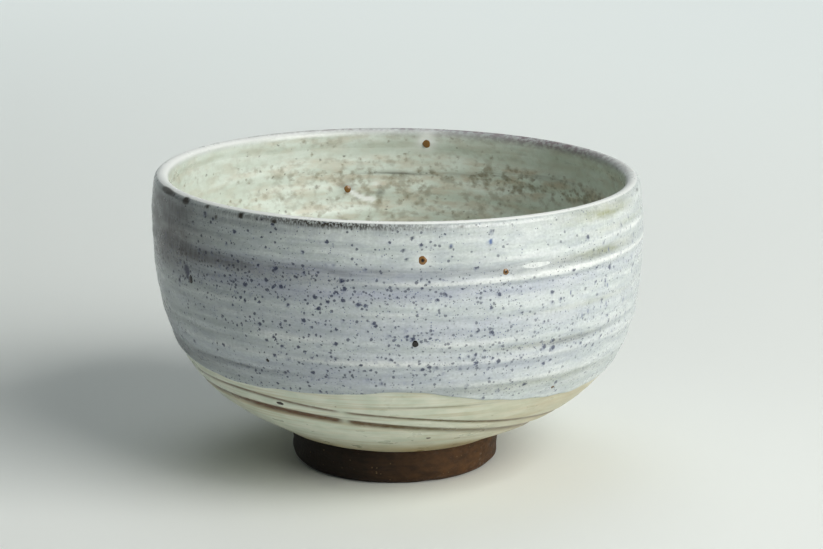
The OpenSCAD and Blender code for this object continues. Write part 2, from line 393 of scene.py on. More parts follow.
def turned(rows, angles, closed, poles=()):
    """Faces of a surface of rows of points, one point per angle. closed joins the last row to the
    first. A pole row (0 or -1) is one point, which the next row joins as a fan."""
    count = len(angles)
    first = {row % rows: 1 for row in poles}
    starts = np.cumsum([0] + [first.get(i, count) for i in range(rows)])
    k = np.arange(count)
    nxt = (k + 1) % count
    faces = []
    for i in range(rows if closed else rows - 1):
        j = (i + 1) % rows
        a, b = starts[i], starts[j]
        if i in first:
            faces += np.stack([a + 0 * k, b + nxt, b + k], 1).tolist()
        elif j in first:
            faces += np.stack([a + k, a + nxt, b + 0 * k], 1).tolist()
        else:
            faces += np.stack([a + k, a + nxt, b + nxt, b + k], 1).tolist()
    return faces


def make_piece(name, points, faces, fields, material, node):
    """A mesh object from points in mm, with a number field per point for its material to read."""
    mesh = bpy.data.meshes.new(name)
    mesh.from_pydata((points * MM).tolist(), [], faces)
    for key, values in fields.items():
        layer = mesh.attributes.new(key, "FLOAT", "POINT")
        layer.data.foreach_set("value", np.asarray(values, np.float32).ravel())
    mesh.shade_smooth()
    if mesh.validate():
        raise RuntimeError(f"{name} has faces that don't join up")
    mesh.materials.append(material)
    piece = bpy.data.objects.new(name, mesh)
    bpy.context.scene.collection.objects.link(piece)
    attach(piece, "root")
    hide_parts(node)
    return piece


def flat(grid, poles=()):
    """A grid of rows to one list, keeping one value of each pole row."""
    poles = {row % len(grid) for row in poles}
    return np.concatenate([row[:1] if i in poles else row for i, row in enumerate(grid)])


# ---------------------------------------------------------------- materials

def add(tree, kind, settings=None, inputs=None):
    """Adds a node. settings are its own values, and feed sets or links its inputs."""
    node = tree.nodes.new(kind)
    for key, value in (settings or {}).items():
        setattr(node, key, value)
    feed(tree, node, inputs or {})
    return node


def feed(tree, node, inputs):
    """Sets or links a node's inputs. They are numbers, colours, nodes or sockets by socket name or
    place; a node stands for its first live output."""
    for key, value in inputs.items():
        names = [s for s in node.inputs if s.name == key and s.enabled]
        socket = names[0] if names else node.inputs[key]
        if isinstance(value, bpy.types.Node):
            value = next(s for s in value.outputs if s.enabled)
        if isinstance(value, bpy.types.NodeSocket):
            tree.links.new(value, socket)
        else:
            socket.default_value = value


def new_material(name):
    """An empty material with its shader joined to the output: (material, tree, shader)."""
    material = bpy.data.materials.new(name)
    material.use_nodes = True
    tree = material.node_tree
    tree.nodes.clear()
    shader = add(tree, "ShaderNodeBsdfPrincipled")
    add(tree, "ShaderNodeOutputMaterial", None, {"Surface": shader.outputs["BSDF"]})
    return material, tree, shader


def field(tree, name):
    """A number that the mesh carries."""
    return add(tree, "ShaderNodeAttribute", {"attribute_name": name}).outputs["Fac"]


def stretched(tree, around, upward):
    """Object coordinates counted in lengths of around mm level and upward mm up."""
    place = add(tree, "ShaderNodeTexCoord").outputs["Object"]
    return add(tree, "ShaderNodeMapping", None, {
        "Vector": place, "Scale": (1 / (around * MM), 1 / (around * MM), 1 / (upward * MM))})


def cloud(tree, around, upward, low=0.35, high=0.65, detail=3.0, seed=0.0):
    """Soft noise from 0 to 1, its lumps around mm wide and upward mm tall."""
    noise = add(tree, "ShaderNodeTexNoise", {"noise_dimensions": "4D"}, {
        "Vector": stretched(tree, around, upward), "W": seed, "Scale": 1.0, "Detail": detail})
    return add(tree, "ShaderNodeMapRange", {"interpolation_type": "SMOOTHSTEP"}, {
        "Value": noise.outputs["Fac"], "From Min": low, "From Max": high})


def times(tree, *values):
    """The product of these numbers."""
    total = values[0]
    for value in values[1:]:
        total = add(tree, "ShaderNodeMath", {"operation": "MULTIPLY"}, {0: total, 1: value})
    return total


def over(tree, under, colour, share):
    """colour laid over under by share."""
    return add(tree, "ShaderNodeMix", {"data_type": "RGBA"}, {
        "Factor": share, "A": under, "B": colour})


def layers(tree, colour, *rows):
    """colour with others laid over it in turn. Each row is a colour and the numbers whose product
    is its share."""
    for upper, *shares in rows:
        colour = over(tree, colour, upper, times(tree, *shares))
    return colour


def speckle(tree, cell, size, share, seed, crisp=0.6, tall=1.0):
    """Dots from round drops in space, one chance per cell of cell mm, up to size mm wide. share (0
    to 1) is how many of the cells have one, crisp how much of a dot is full and not edge, and tall
    its height over its width. Each dot's own random number makes it smaller."""
    place = add(tree, "ShaderNodeTexCoord").outputs["Object"]
    ragged = add(tree, "ShaderNodeTexNoise", None, {
        "Vector": place, "Scale": 1 / (0.6 * MM), "Detail": 1.0})
    shift = add(tree, "ShaderNodeVectorMath", {"operation": "MULTIPLY_ADD"}, {
        0: ragged.outputs["Color"], 1: (0.4 * size * MM,) * 3, 2: place})
    moved = add(tree, "ShaderNodeMapping", None, {
        "Vector": shift, "Location": (seed, seed, seed),
        "Scale": (1 / (cell * MM), 1 / (cell * MM), 1 / (tall * cell * MM))})
    dots = add(tree, "ShaderNodeTexVoronoi", None, {"Vector": moved, "Scale": 1.0})
    chance = add(tree, "ShaderNodeSeparateColor", None, {"Color": dots.outputs["Color"]})
    chosen = add(tree, "ShaderNodeMath", {"operation": "LESS_THAN"}, {
        0: chance.outputs["Red"], 1: share})
    radius = add(tree, "ShaderNodeMapRange", None, {
        "Value": chance.outputs["Green"], "To Min": 0.4 * size / 2 / cell,
        "To Max": size / 2 / cell})
    inner = times(tree, radius, crisp)
    dot = add(tree, "ShaderNodeMapRange", {"interpolation_type": "SMOOTHSTEP"}, {
        "Value": dots.outputs["Distance"], "From Min": inner, "From Max": radius,
        "To Min": 1.0, "To Max": 0.0})
    return times(tree, dot, chosen)


def bump(tree, height, mm, before=None):
    """A bump whose height of 1 stands mm millimetres off the surface."""
    inputs = {"Height": height, "Strength": 1.0, "Distance": mm * MM}
    if before is not None:
        inputs["Normal"] = before
    return add(tree, "ShaderNodeBump", None, inputs)


def between(tree, value, low, high):
    """A number from 0 to 1 moved to the range low to high."""
    return add(tree, "ShaderNodeMapRange", None, {"Value": value, "To Min": low, "To Max": high})


def inside_colour(tree, colours):
    """Colour of the glaze inside: pale green with beige clouds, and soft level rows of brown dots
    where iron came up through it."""
    rust = field(tree, "rust")
    beige = cloud(tree, 7, 2.2, 0.4, 0.65, 4.0, 34.0)
    dense = times(tree, rust, cloud(tree, 5, 1.4, 0.45, 0.65, 3.0, 36.0))
    return layers(
        tree, colours.inside,
        (colours.inside_shade, cloud(tree, 12, 3.0, 0.35, 0.65, 4.0, 31.0), 0.6),
        (colours.inside_beige, beige, between(tree, rust, 0.2, 1.0)),
        (colours.inside_rust, rust, cloud(tree, 2.4, 1.8, 0.46, 0.66, 5.0, 32.0), 0.85),
        (colours.inside_rust, speckle(tree, 2.1, 2.6, rust, 61.0, 0.0), 0.75),
        (colours.inside_fleck, speckle(tree, 1.6, 1.5, dense, 67.0, 0.1), 0.75),
        (colours.inside_shade, cloud(tree, 0.8, 0.7, 0.3, 0.7, 2.0, 35.0), 0.25))


def milky_glaze(colours):
    """Milky straw-ash glaze brushed over a cream one and fired glossy. It is nearly white where it
    stands thick on a ridge, which is also a painted highlight, lavender where it pools and grey where
    it is thin, in fine level brush streaks, and blue-black specks of iron have melted through it. On
    the side towards the key lamp it is painted whiter, with fewer streaks and specks, and on the left
    its grey and smoke-brown patches are partly painted shade. At the lip it has run off and the iron
    burns sepia, and the crest is painted white as a highlight; inside, it melts into the green glaze."""
    material, tree, shader = new_material("milky_ash_glaze")
    lamp_side_white, smoky_and_shaded = field(tree, "lamp_side_white"), field(tree, "smoky_and_shaded")
    streaks = cloud(tree, 16, 1.5, 0.34, 0.66, 5.0, 1.0)
    falls = cloud(tree, 0.7, 3.0, 0.35, 0.65, 3.0, 14.0)
    broad = cloud(tree, 30, 4.0, 0.3, 0.7, 3.0, 2.0)
    puddles = cloud(tree, 4, 1.4, 0.3, 0.6, 3.0, 4.0)
    broken = cloud(tree, 7, 0.7, 0.35, 0.65, 4.0, 5.0)
    smoke_and_shade = cloud(tree, 6, 2.5, 0.3, 0.6, 4.0, 8.0)
    # The coat itself, from its brush streaks to the fine grain of its surface
    colour = layers(
        tree, colours.milky,
        # Painted light: on the side towards the key lamp the coat is painted whiter, with fewer grey
        # streaks here and more white in the ridge-white row below
        (colours.milky_shade, streaks, between(tree, lamp_side_white, 0.85, 0.5)),
        (colours.lavender, field(tree, "violet"), between(tree, broad, 0.55, 1.0)),
        (colours.lavender, cloud(tree, 3.6, 1.3, 0.4, 0.62, 4.0, 7.0), 0.2),
        (colours.olive, field(tree, "olive"), between(tree, puddles, 0.5, 1.0),
         between(tree, falls, 0.65, 1.0)),
        # The thin coat's grey, which on the left stands in part for painted shade
        (colours.thin_and_shade, field(tree, "thin_and_shade"), between(tree, broken, 0.4, 1.0)),
        # Smoke brown, which on the left stands in part for painted shade
        (colours.smoke_and_shade, smoky_and_shaded, between(tree, smoke_and_shade, 0.6, 1.0)),
        # Ridges painted whiter: partly thick white glaze, partly painted highlight
        (colours.ridge_white, field(tree, "ridge"), between(tree, streaks, 1.0, 0.6)),
        (colours.ridge_white, lamp_side_white, cloud(tree, 11, 2.0, 0.42, 0.62, 4.0, 12.0), 0.25),
        (colours.milky_shade, falls, 0.2),
        (colours.thin_and_shade, cloud(tree, 0.7, 0.5, 0.3, 0.7, 2.0, 3.0), 0.2))
    # Specks of iron: halos first, then dust, small, middling and large ones, smears and drops
    share = field(tree, "speckled")
    lumps = cloud(tree, 7, 4, 0.35, 0.6, 2.0, 13.0)
    clumps = times(tree, share, between(tree, lumps, 0.4, 1.1))
    few = times(tree, clumps, 0.5)
    # Specks turn black under the smoke brown and under the painted shade on the left
    speck = over(tree, colours.speck, colours.iron_black, smoky_and_shaded)
    drops = over(tree, colours.speck, colours.cobalt, field(tree, "bluer"))
    colour = layers(
        tree, colour,
        (colours.speck_halo, speckle(tree, 1.8, 2.5, few, 23.0, 0.1), 0.45),
        (colours.dust, speckle(tree, 0.7, 0.42, field(tree, "dusted"), 5.0, 0.6), 0.85),
        (colours.speck_halo, speckle(tree, 0.62, 0.44, times(tree, share, 0.7), 3.0, 0.5), 0.85),
        # Fewer specks on the side towards the key lamp, part of the painted light there
        (speck, speckle(tree, 1.05, 1.05, clumps, 11.0, 0.6), between(tree, lamp_side_white, 0.92, 0.5)),
        (speck, speckle(tree, 1.8, 1.55, few, 23.0, 0.55), between(tree, lamp_side_white, 0.95, 0.7)),
        (colours.speck_halo, speckle(tree, 1.5, 1.1, field(tree, "smeared"), 29.0, 0.2, 2.2), 0.75),
        (drops, field(tree, "drops")))
    # The inside of the lap, the lip's crest painted white as a highlight and burnt iron, grains' halos
    # and the lower edge
    drip = cloud(tree, 0.55, 6.0, 0.35, 0.6, 2.0, 6.0)
    flakes = cloud(tree, 0.4, 1.3, 0.42, 0.56, 2.0, 16.0)
    rim = times(tree, field(tree, "rim"), between(tree, flakes, 0.35, 1.0))
    spotty = cloud(tree, 1.4, 0.9, 0.4, 0.6, 4.0, 15.0)
    colour = layers(
        tree, colour,
        (inside_colour(tree, colours), field(tree, "inner")),
        # Painted highlight: the lip's crest painted white
        (colours.ridge_white, field(tree, "crest"), 0.9),
        (colours.rim_brown, rim),
        (colours.rim_brown, field(tree, "runs"), drip, 0.5),
        (colours.rim_brown, field(tree, "blobs")),
        (colours.rim_violet, field(tree, "rim_back"), between(tree, spotty, 0.45, 1.2)),
        (colours.ridge_white, field(tree, "halo"), 0.95),
        (colours.edge_blue, field(tree, "edge"), 0.5))
    add_gloss(tree, shader, colour, 0.24, 0.36, rim)
    return material


def add_gloss(tree, shader, colour, smooth, rough, rougher=None):
    """Joins a glaze's colour, a roughness that wanders from smooth to rough, and the glaze's own
    fine unevenness: a slow orange-peel 0.014 mm deep and pinholes."""
    roughness = add(tree, "ShaderNodeMapRange", None, {
        "Value": cloud(tree, 6, 3, 0.3, 0.7, 4.0, 9.0), "To Min": smooth, "To Max": rough})
    if rougher is not None:
        roughness = add(tree, "ShaderNodeMath", {"operation": "MULTIPLY_ADD"}, {
            0: rougher, 1: 0.2, 2: roughness})
    peel = bump(tree, cloud(tree, 2.2, 1.2, 0.2, 0.8, 2.0, 10.0), 0.014)
    pins = bump(tree, speckle(tree, 1.9, 0.45, 0.22, 41.0), -0.02, peel)
    feed(tree, shader, {"Base Color": colour, "Roughness": roughness, "Normal": pins, "IOR": 1.52})


def cream_glaze(colours):
    """Cream ash glaze, dipped and satin: green-white where thick, tan where it thins towards the
    foot and on the right, partly as a painted warm reflection, with iron brown gathered in the two
    turning grooves."""
    material, tree, shader = new_material("cream_ash_glaze")
    uneven = cloud(tree, 9, 1.2, 0.3, 0.7, 4.0, 22.0)
    broken = cloud(tree, 1.4, 0.8, 0.3, 0.55, 3.0, 24.0)
    brown = over(tree, colours.groove_brown, colours.groove_olive, field(tree, "olive"))
    colour = layers(
        tree, colours.cream,
        (colours.cream_green, cloud(tree, 5, 2.2, 0.3, 0.7, 4.0, 21.0)),
        # Tan where the coat thins, partly a painted warm reflection low down and on the right
        (colours.cream_thin, field(tree, "thin_tan_and_reflection"), between(tree, uneven, 0.6, 1.0), 0.9),
        (colours.cream_thin, cloud(tree, 20, 0.6, 0.45, 0.7, 4.0, 23.0), 0.35),
        (brown, field(tree, "groove"), between(tree, broken, 0.86, 1.0)),
        (colours.groove_brown, speckle(tree, 3.0, 0.7, 0.1, 51.0), 0.6))
    add_gloss(tree, shader, colour, 0.26, 0.42)
    return material


def inside_glaze(colours):
    """Pale green ash glaze poured inside and fired satin, its iron mottled brown in level rows, with
    one pale run where something bubbled through."""
    material, tree, shader = new_material("green_ash_glaze")
    colour = layers(
        tree, inside_colour(tree, colours),
        (colours.inside_fleck, field(tree, "band"), cloud(tree, 9, 0.5, 0.3, 0.6, 3.0, 33.0)),
        (colours.inside_fleck, field(tree, "scorch"), 0.6),
        (colours.ridge_white, field(tree, "pale"), 0.95))
    add_gloss(tree, shader, colour, 0.34, 0.48)
    return material


def bare_clay(colours, name, gloss):
    """Iron-bearing stoneware, turned and left bare: nearly black and matt, with fine grit. Where it is
    browned, it is warm brown, with level turning lines and small glazed specks whose roughness is
    gloss.
    The clay body is browned evenly by the kiln; on the foot the browning is painted light, laid on the
    side towards the key lamp."""
    material, tree, shader = new_material(name)
    lines = cloud(tree, 10, 0.5, 0.35, 0.65, 4.0, 71.0)
    blotch = cloud(tree, 2.5, 1.4, 0.35, 0.65, 5.0, 72.0)
    warmth_and_lamp_light = field(tree, "browned_and_lamp_lit")
    grit = speckle(tree, 1.1, 0.5, 0.3, 73.0)
    colour = layers(
        tree, colours.clay_dark,
        (colours.clay_warm, warmth_and_lamp_light, between(tree, blotch, 0.5, 1.0)),
        (colours.clay_warm, lines, warmth_and_lamp_light, 0.4),
        (colours.grit, grit, 0.35))
    glazed = times(tree, cloud(tree, 1.4, 0.9, 0.56, 0.7, 3.0, 74.0), warmth_and_lamp_light)
    coarse = bump(tree, cloud(tree, 0.9, 0.5, 0.2, 0.8, 4.0, 75.0), 0.09)
    feed(tree, shader, {
        "Base Color": colour, "Roughness": between(tree, glazed, 0.72, gloss),
        "Normal": bump(tree, grit, 0.06, coarse), "IOR": 1.5, "Specular IOR Level": 0.3})
    return material


def melted_iron(colours):
    """A grain of iron that melted into the glaze: glassy, black in the middle, with a rust-orange rim
    on the browner ones."""
    material, tree, shader = new_material("melted_iron_grain")
    rim = times(tree, field(tree, "brown"), add(tree, "ShaderNodeMapRange", {
        "interpolation_type": "SMOOTHSTEP"}, {
        "Value": field(tree, "spread"), "From Min": 0.2, "From Max": 0.55}))
    colour = over(tree, colours.iron_black, colours.iron_rust, rim)
    add_gloss(tree, shader, colour, 0.12, 0.22)
    return material


# ---------------------------------------------------------------- sizes and colours

def length(name, description, mm):
    """A size that a user may change, given here in millimetres and kept in metres."""
    return bpy.props.FloatProperty(
        name=name, description=description, default=mm * MM, min=0.0, precision=5, unit="LENGTH")


def slope(name, description, degrees):
    """An angle that a user may change, given here in degrees and kept in radians."""
    return bpy.props.FloatProperty(
        name=name, description=description, default=np.radians(degrees), subtype="ANGLE")


def tint(name, description, hex_colour):
    """A colour that a user may change."""
    return bpy.props.FloatVectorProperty(
        name=name, description=description, subtype="COLOR", size=4, min=0.0, max=1.0,
        default=linear(hex_colour))


class MatchaBowlSizes(bpy.types.PropertyGroup):
    """The bowl's sizes. Those of the frame are read from it."""

    wall_half: length("Clay half width", "Half the clay's widest diameter", CLAY_HALF)
    clay_top: length("Clay top", "Height of the clay's lip", CLAY_TOP)
    foot_half: length("Foot radius", "Radius of the foot ring at its joint", FOOT_HALF - 0.2)
    foot_top: length("Foot height", "Height of the foot's joint", FOOT_TOP)
    base_coat: length("First coat", "Thickness of the first coat", BASE_HALF - CLAY_HALF)
    milky_coat: length("Milky coat", "Thickness of the milky coat", COATED_HALF - BASE_HALF)
    belly: length("Belly height", "Height of the widest part", 0.83 * COATED_TOP)
    turn_in: length("Turn in", "How far the lip stands in from the belly", 1.8)
    lip_thickness: length("Lip thickness", "Thickness of the clay at the lip", 2.1)
    lean: slope("Lip lean", "Angle at which the wall leans in at the lip", 8.0)
    leave: slope("Foot flare", "Angle above level at which the wall leaves the foot", 26.0)
    floor: length("Floor height", "Height of the clay floor inside", 15.0)
    pool_half: length("Tea pool radius", "Radius of the pool in the floor", 17.0)
    pool_depth: length("Tea pool depth", "Depth of the pool in the floor", 0.8)
    ridge_room: length("Ridge room", "Room for the ridges inside the frame", 0.3)
    ridge_rise: bpy.props.FloatProperty(
        name="Ridges", description="Strength of the throwing ridges", default=1.0, min=0.0,
        max=1.2, subtype="FACTOR")
    tokin: length("Underside cone", "Height of the cone left under the middle", 1.4)
    rim_dip: length("Rim dip", "Half of how far the rim drops on the right", 0.6)
    foot_shift: length("Foot shift", "How far left the foot sits", 0.8)
    milky_lap: length("Milky lap", "How far the milky coat runs down inside", 4.0)


class MatchaBowlColours(bpy.types.PropertyGroup):
    """Colours of the coats and the clay."""

    milky: tint("Milky", "The milky coat where it is even", "#d2dad8")
    milky_shade: tint("Milky shade", "The milky coat's greyer streaks", "#a9b3b2")
    # White glaze on ridges, round grains and in the pale run, and painted highlight on ridges, the
    # lip's crest and the lamp side
    ridge_white: tint("Ridge white", "The milky coat on a ridge", "#eef1ef")
    lavender: tint("Lavender", "The milky coat where it pools", "#9fa4bb")
    # Also painted shade on the bowl's left side
    smoke_and_shade: tint("Smoke", "The milky coat where iron browns it", "#352d30")
    olive: tint("Olive", "The milky coat over iron", "#8f915e")
    # Also painted shade on the bowl's left side
    thin_and_shade: tint("Thin", "The milky coat where it is thin", "#72777a")
    speck: tint("Speck", "Blue-black specks in the milky coat", "#202947")
    cobalt: tint("Cobalt", "The bluest drops in the milky coat", "#4a72b4")
    speck_halo: tint("Speck halo", "The blue that spreads round a speck", "#545d82")
    dust: tint("Dust", "The finest specks", "#454c55")
    edge_blue: tint("Edge", "The milky coat's lower edge", "#8f96a8")
    rim_brown: tint("Rim brown", "The lip where the glaze ran off", "#221c0f")
    rim_violet: tint("Rim violet", "The lip's inner side", "#7d7377")
    cream: tint("Cream", "The first coat", "#e0e3d3")
    cream_green: tint("Cream green", "The first coat's greener clouds", "#cbd4c2")
    # Also a painted warm reflection low down and on the right
    cream_thin: tint("Cream thin", "The first coat where it is thin", "#b5a06e")
    groove_brown: tint("Groove brown", "Iron in the grooves", "#583204")
    groove_olive: tint("Groove olive", "Iron in the grooves under thick glaze", "#564813")
    inside: tint("Inside", "The inside coat", "#dbe4dc")
    inside_shade: tint("Inside shade", "The inside coat's darker clouds", "#c0cabd")
    inside_beige: tint("Inside beige", "The inside coat where iron tints it", "#c0b7a3")
    inside_rust: tint("Inside rust", "Brown mottling inside", "#7f765f")
    inside_fleck: tint("Inside fleck", "Dark flecks inside", "#453f31")
    clay_dark: tint("Clay", "Bare clay", "#0b0704")
    # On the foot also painted light, laid on the side towards the key lamp
    clay_warm: tint("Warm clay", "Bare clay where the kiln browned it", "#563a1f")
    grit: tint("Grit", "Pale grit in the clay", "#8a7350")
    iron_black: tint("Iron", "Melted iron", "#120d0a")
    iron_rust: tint("Iron rust", "Melted iron's rim", "#7d5a30")
    floor: tint("Floor", "The studio floor near the bowl", "#eff3f1")
    backdrop: tint("Backdrop", "The air round the studio and the far floor", "#dfe7e5")


def sizes_in_mm(context):
    """The scene's sizes with every length in mm; angles stay in radians."""
    group = context.scene.matcha_bowl_sizes
    values = {}
    for key, kind in group.bl_rna.properties.items():
        if key not in ("rna_type", "name"):
            values[key] = getattr(group, key) / (MM if kind.unit == "LENGTH" else 1.0)
    return SimpleNamespace(**values)


def ring_angles(count):
    """count angles in degrees, evenly round the bowl."""
    return np.arange(count) * 360.0 / count


def milky_edge_height(angle):
    """Height of the milky coat's lower edge."""
    height = MILKY_EDGE + 0.12 * ripple(angle, 0.0, 101, 40, 1.0)
    for centre, wide, rise in MILKY_EDGE_WAVES:
        height = height + rise * near(angle, centre, wide)
    return height


def pale_run(angle, height):
    """1 along the pale run inside, falling to 0 a millimetre off: one less the distance from a
    straight stretch between its ends, which a small bow bends."""
    (a0, z0), (a1, z1) = PALE_RUN
    u = np.clip(((angle - a0) * (a1 - a0) + (height - z0) * (z1 - z0))
                / ((a1 - a0) ** 2 + (z1 - z0) ** 2), 0, 1)
    bow = 0.5 * np.sin(np.pi * u)
    gap = np.hypot(angle - a0 - u * (a1 - a0), height - z0 - u * (z1 - z0) + bow)
    return 1 - ease(gap, 0.25 + 0.3 * u, 0.95)


def inside_rust(angle, height):
    """How much iron mottles the inside, from 0 to 1."""
    rust = 0.2 + patches(angle, height, RUSTY) + 0.12 * ripple(angle, height, 141, 9, 6.0)
    return np.clip(rust, 0.03, 1)


def back_patches(seed, count, strength):
    """Extra soft ovals for the back of the bowl, drawn at random."""
    draw = np.random.default_rng(seed)
    return [(draw.uniform(34, 70), draw.uniform(0.7, 2.6), draw.uniform(110, 250),
             draw.uniform(12, 45), strength * draw.uniform(0.4, 1)) for _ in range(count)]


# ---------------------------------------------------------------- pieces and their operators

def underside(sizes, angles):
    """Points of the clay under the foot: a low cone in the middle of a level face, and the spiral
    that the turning tool left, a cosine of the turns made and the radius, faded out at both ends."""
    r = np.concatenate([[0], np.linspace(0.6, sizes.foot_half - 0.2, 44)])
    spiral = angles[None, :] / 360 + r[:, None] / SPIRAL_PITCH
    z = (sizes.foot_top - sizes.tokin * (1 - ease(r, 0.5, 7.0))[:, None]
         + SPIRAL_DEPTH * np.cos(2 * np.pi * spiral) * ease(r, 1, 4)[:, None]
         * (1 - ease(r, 16, 18))[:, None])
    return settle(sizes, angles[None, :], across(r, angles), z)


class MATCHA_BOWL_OT_clay(bpy.types.Operator):
    """Throw the clay body"""

    bl_idname = "matcha_bowl.clay"
    bl_label = "Clay body"

    def execute(self, context):
        sizes, colours = sizes_in_mm(context), context.scene.matcha_bowl_colours
        profile = clay_profile(sizes)
        angles = ring_angles(360)
        along = np.concatenate([
            np.linspace(0, 8, 24), np.linspace(8, profile.crest, 40)[1:],
            np.linspace(profile.crest, profile.floor, 40)[1:]])
        wall = wall_points(sizes, profile, angles[None, :], across(along, angles), 0.0)
        grid = np.concatenate([underside(sizes, angles), wall])
        poles = (0, len(grid) - 1)
        points = flat(grid, poles)
        faces = turned(len(grid), angles, False, poles)
        browned_and_lamp_lit = {"browned_and_lamp_lit": np.full(len(points), 0.7)}
        material = bare_clay(colours, "turned_stoneware", 0.5)
        make_piece("clay_wall", points, faces, browned_and_lamp_lit, material, "clay_body")
        return {"FINISHED"}


class MATCHA_BOWL_OT_foot(bpy.types.Operator):
    """Turn the foot ring"""

    bl_idname = "matcha_bowl.foot"
    bl_label = "Foot ring"

    def execute(self, context):
        sizes, colours = sizes_in_mm(context), context.scene.matcha_bowl_colours
        angles = ring_angles(540)
        top, half = sizes.foot_top, sizes.foot_half
        # The ring's outline from its resting face up the outside, over its top and down the inside
        corners = np.array([
            [half - 5.0, 0.0], [half - 1.9, 0.0], [half - 1.25, 0.25], [half - 0.75, 0.95],
            [half - 0.35, 1.5], [half - 0.05, top * 0.45], [half - 0.1, top * 0.8], [half - 0.3, top],
            [half - 7.4, top], [half - 6.9, top * 0.6], [half - 5.8, 1.2], [half - 5.4, 0.3],
            [half - 5.0, 0.0]])
        reach = np.concatenate([[0], np.cumsum(np.linalg.norm(np.diff(corners, axis=0), axis=1))])
        along = np.linspace(0, reach[-1], 121)[:-1]
        r, z = np.interp(along, reach, corners[:, 0]), np.interp(along, reach, corners[:, 1])
        for _ in range(3):
            r = (np.roll(r, 1) + r + np.roll(r, -1)) / 3
            z = np.maximum((np.roll(z, 1) + z + np.roll(z, -1)) / 3, 0)
        side = ease(r, half - 5, half - 3)[:, None]
        turning = 0.09 * wheel_lines(angles[None, :], z[:, None], 131)
        wobble = 0.16 * ripple(angles[None, :], z[:, None], 133, 11, 8.0)
        off_floor = ease(z, 0.3, 1.4)[:, None]
        r_all = r[:, None] + (turning + wobble) * side * off_floor - 0.25 * side * (1 - off_floor)
        nick = 0.22 * np.maximum(ripple(angles, 0.0, 135, 17, 1.0) - 0.55, 0)
        z_all = z[:, None] + 0 * angles + nick[None, :] * (1 - off_floor) * side
        points = settle(sizes, angles[None, :], r_all, z_all).reshape(-1, 3)
        faces = turned(len(along), angles, True)
        material = bare_clay(colours, "bare_foot_stoneware", 0.28)
        # Painted light: the foot is painted browner, with glossier specks, on the side towards the key
        # lamp
        browned_and_lamp_lit = {"browned_and_lamp_lit": 0.05 + 0.95 * near(angles, 48, 46) + 0 * z_all}
        make_piece("turned_foot", points, faces, browned_and_lamp_lit, material, "foot_ring")
        return {"FINISHED"}


def shell(sizes, profile, angles, front_along, front_lift, back_along, back_lift):
    """A coat of glaze as a closed shell: rows of the front, then rows of the back the other way.

    Each argument is a grid of rows by angles, and a lift is its distance off the clay, in mm.
    """
    along = np.concatenate([front_along, back_along[::-1]])
    lift = np.concatenate([front_lift, back_lift[::-1]])
    grid = wall_points(sizes, profile, angles[None, :] + 0 * along, along, lift)
    return grid, along


# Lengths from a coat's edge at which its rounded edge has rows, in mm
EDGE_STEPS = np.array([0, 0.04, 0.12, 0.25, 0.42])


def bead(gap, width, thickness):
    """Thickness of a coat gap mm from its edge: a quarter ellipse width mm wide, then a slight roll
    where the glaze gathered, then even."""
    rounded = np.sqrt(np.clip(1 - (1 - np.clip(gap / width, 0, 1)) ** 2, 0, 1))
    return thickness * rounded * (1 + 0.3 * np.exp(-((gap - 1.1 * width) / width) ** 2))


class MATCHA_BOWL_OT_inside(bpy.types.Operator):
    """Pour the inside glaze"""

    bl_idname = "matcha_bowl.inside"
    bl_label = "Inside glaze"

    def execute(self, context):
        sizes, colours = sizes_in_mm(context), context.scene.matcha_bowl_colours
        profile = clay_profile(sizes)
        angles = ring_angles(540)
        front = np.concatenate([np.linspace(profile.crest, profile.floor - 14, 140),
                                np.linspace(profile.floor - 14, profile.floor, 16)[1:]])
        back = np.linspace(profile.crest, profile.floor, 14)
        front_grid, back_grid = across(front, angles), across(back, angles)
        grid, along = shell(sizes, profile, angles, front_grid, sizes.base_coat + 0 * front_grid,
                            back_grid, 0 * back_grid)
        # Rows run from the floor's middle up the back and down the front to its middle again
        order = np.roll(np.arange(len(grid)), -len(front))
        grid, along = grid[order], along[order]
        poles = (0, len(grid) - 1)
        height = on_profile(profile, along)[1]
        angle = angles[None, :] + 0 * height
        line = 62.3 + 2.2 * ease(178 - angle, 0, 45) + 0.3 * ripple(angle, 0.0, 143, 9, 1.0)
        band = np.exp(-((height - line) / 0.45) ** 2)
        band *= 0.8 * near(angle, 180, 9) + 0.55 * near(angle, 145, 22)
        fields = {
            "rust": inside_rust(angle, height),
            "band": np.clip(band, 0, 1),
            "pale": np.clip(pale_run(angle, height) + patches(angle, height, PALE_BLOBS), 0, 1),
            "scorch": covered(angle, height, SCORCHED),
        }
        material = inside_glaze(colours)
        make_piece("inside_glaze", flat(grid, poles), turned(len(grid), angles, False, poles),
                   {k: flat(v, poles) for k, v in fields.items()}, material,
                   "inner_glaze")
        return {"FINISHED"}


